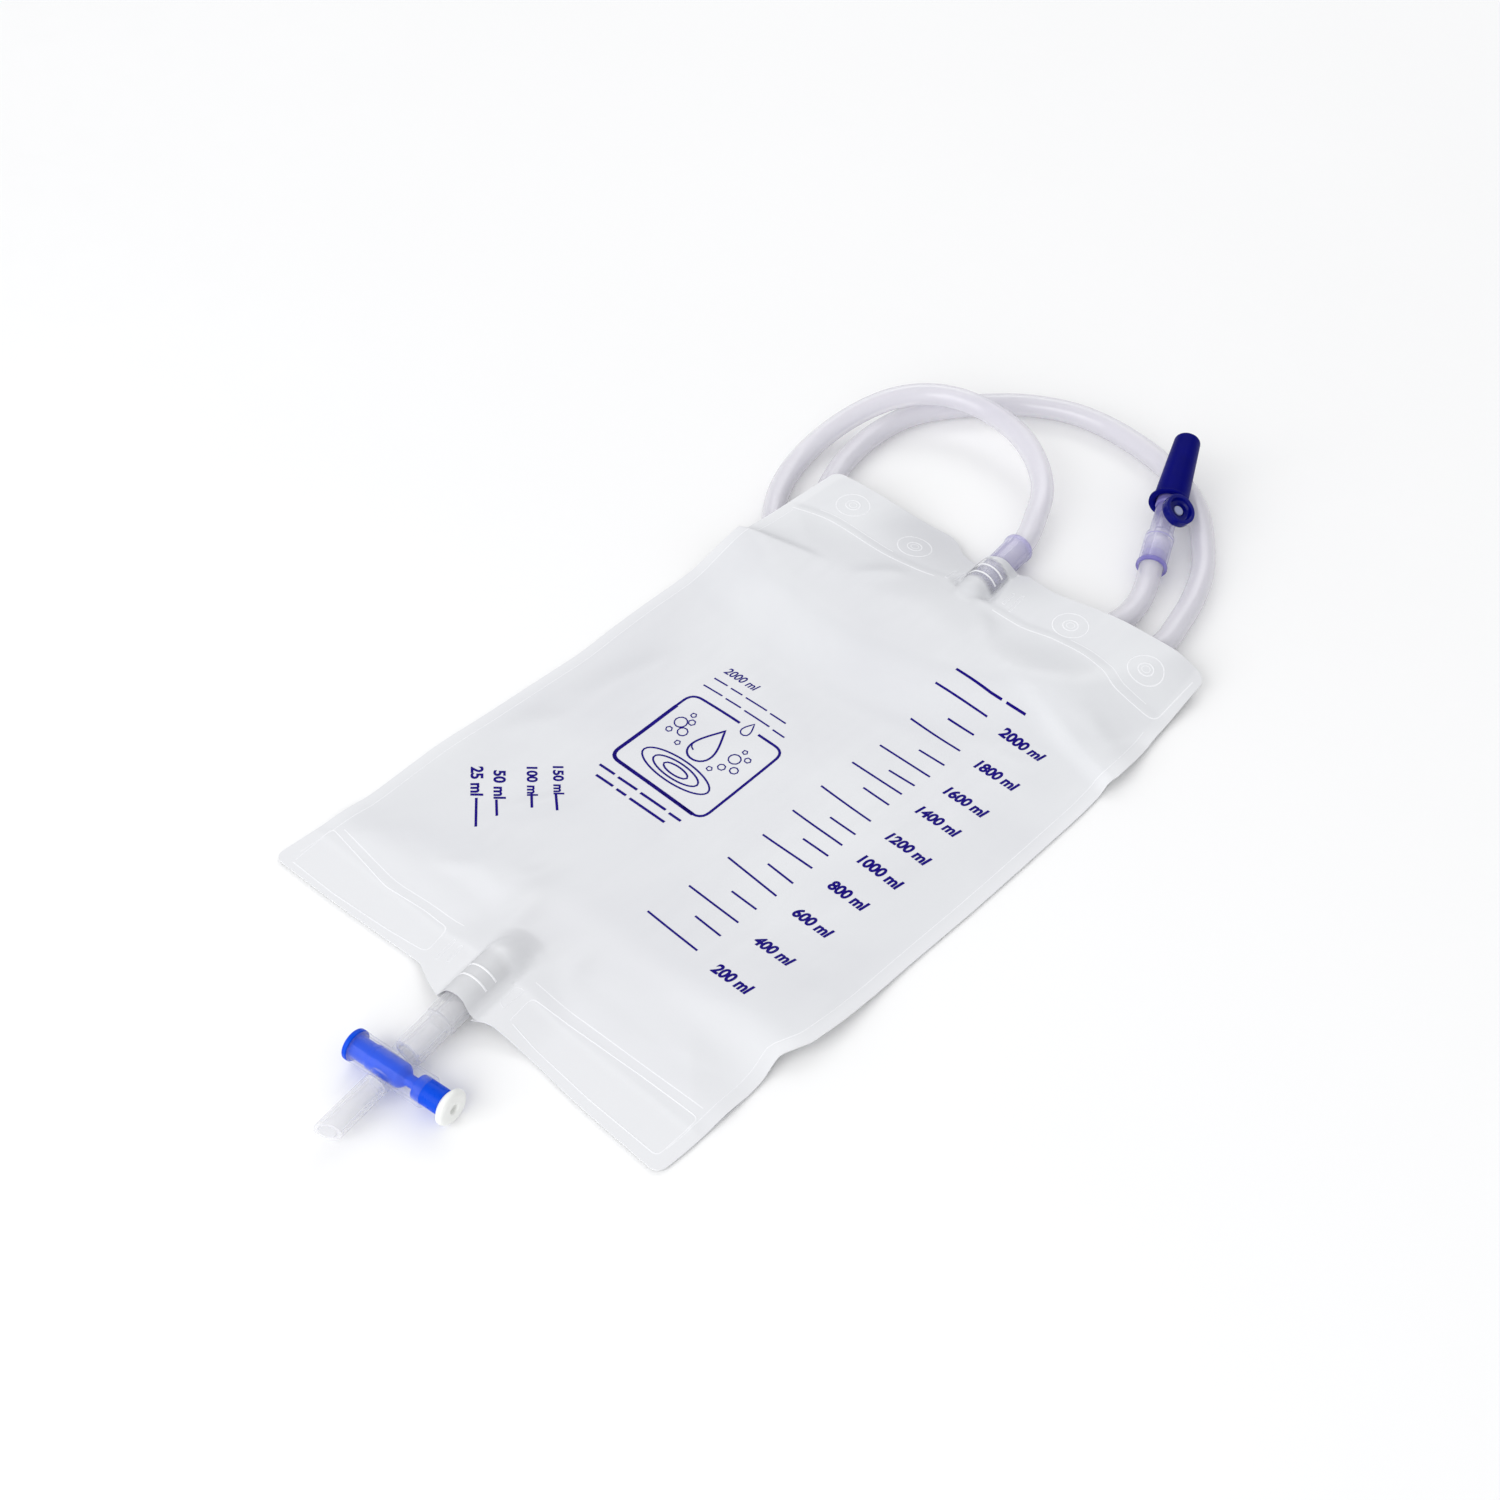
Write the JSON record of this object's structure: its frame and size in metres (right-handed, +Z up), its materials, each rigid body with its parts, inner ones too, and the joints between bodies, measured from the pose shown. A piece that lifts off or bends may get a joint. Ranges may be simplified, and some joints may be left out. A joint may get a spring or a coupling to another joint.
{
  "type": "urine drainage bag",
  "caption": "Flat welded film drainage bag with an inlet connector, coiled inlet tube, capped catheter connector with a sample port, and a push tap with a drain spout.",
  "frame": {"origin": "bottom centre of the box round the bag with its connector, port and tap, on the table it lies on", "axes": "+Y along the bag towards its inlet, +X across it towards the volume scale, +Z up from the table"},
  "size_m": [0.2233, 0.4855, 0.0272],
  "materials": {
    "film": "soft translucent film",
    "clear_violet": "clear violet",
    "tube": "translucent soft tube",
    "clear": "clear",
    "sample_ring": "gloss",
    "septum": "matte",
    "cap": "satin",
    "spool": "satin",
    "button": "satin"
  },
  "bodies": {
    "bag": {"front_film": "film", "rear_film": "film", "non_return_flap": "film", "inlet_connector": "clear_violet", "inlet_tube": "tube", "catheter_connector": "clear_violet", "sample_port_ring": "sample_ring", "sample_septum": "septum", "outlet_port": "clear", "outlet_tube": "clear", "tap_body": "clear", "drain_spout": "clear"},
    "tap_plunger": {"tap_spool": "spool", "tap_button": "button"},
    "cap": {"protective_cap": "cap"}
  },
  "joints": [
    {"name": "tap_slide", "type": "slide", "parent": "bag", "child": "tap_plunger", "axis": [-0.9925, -0.1219, 0], "range_m": [0, 0.0075]},
    {"name": "cap_pull", "type": "slide", "parent": "bag", "child": "cap", "axis": [-0.3995, 0.8968, 0.19], "range_m": [0, 0.04]}
  ]
}
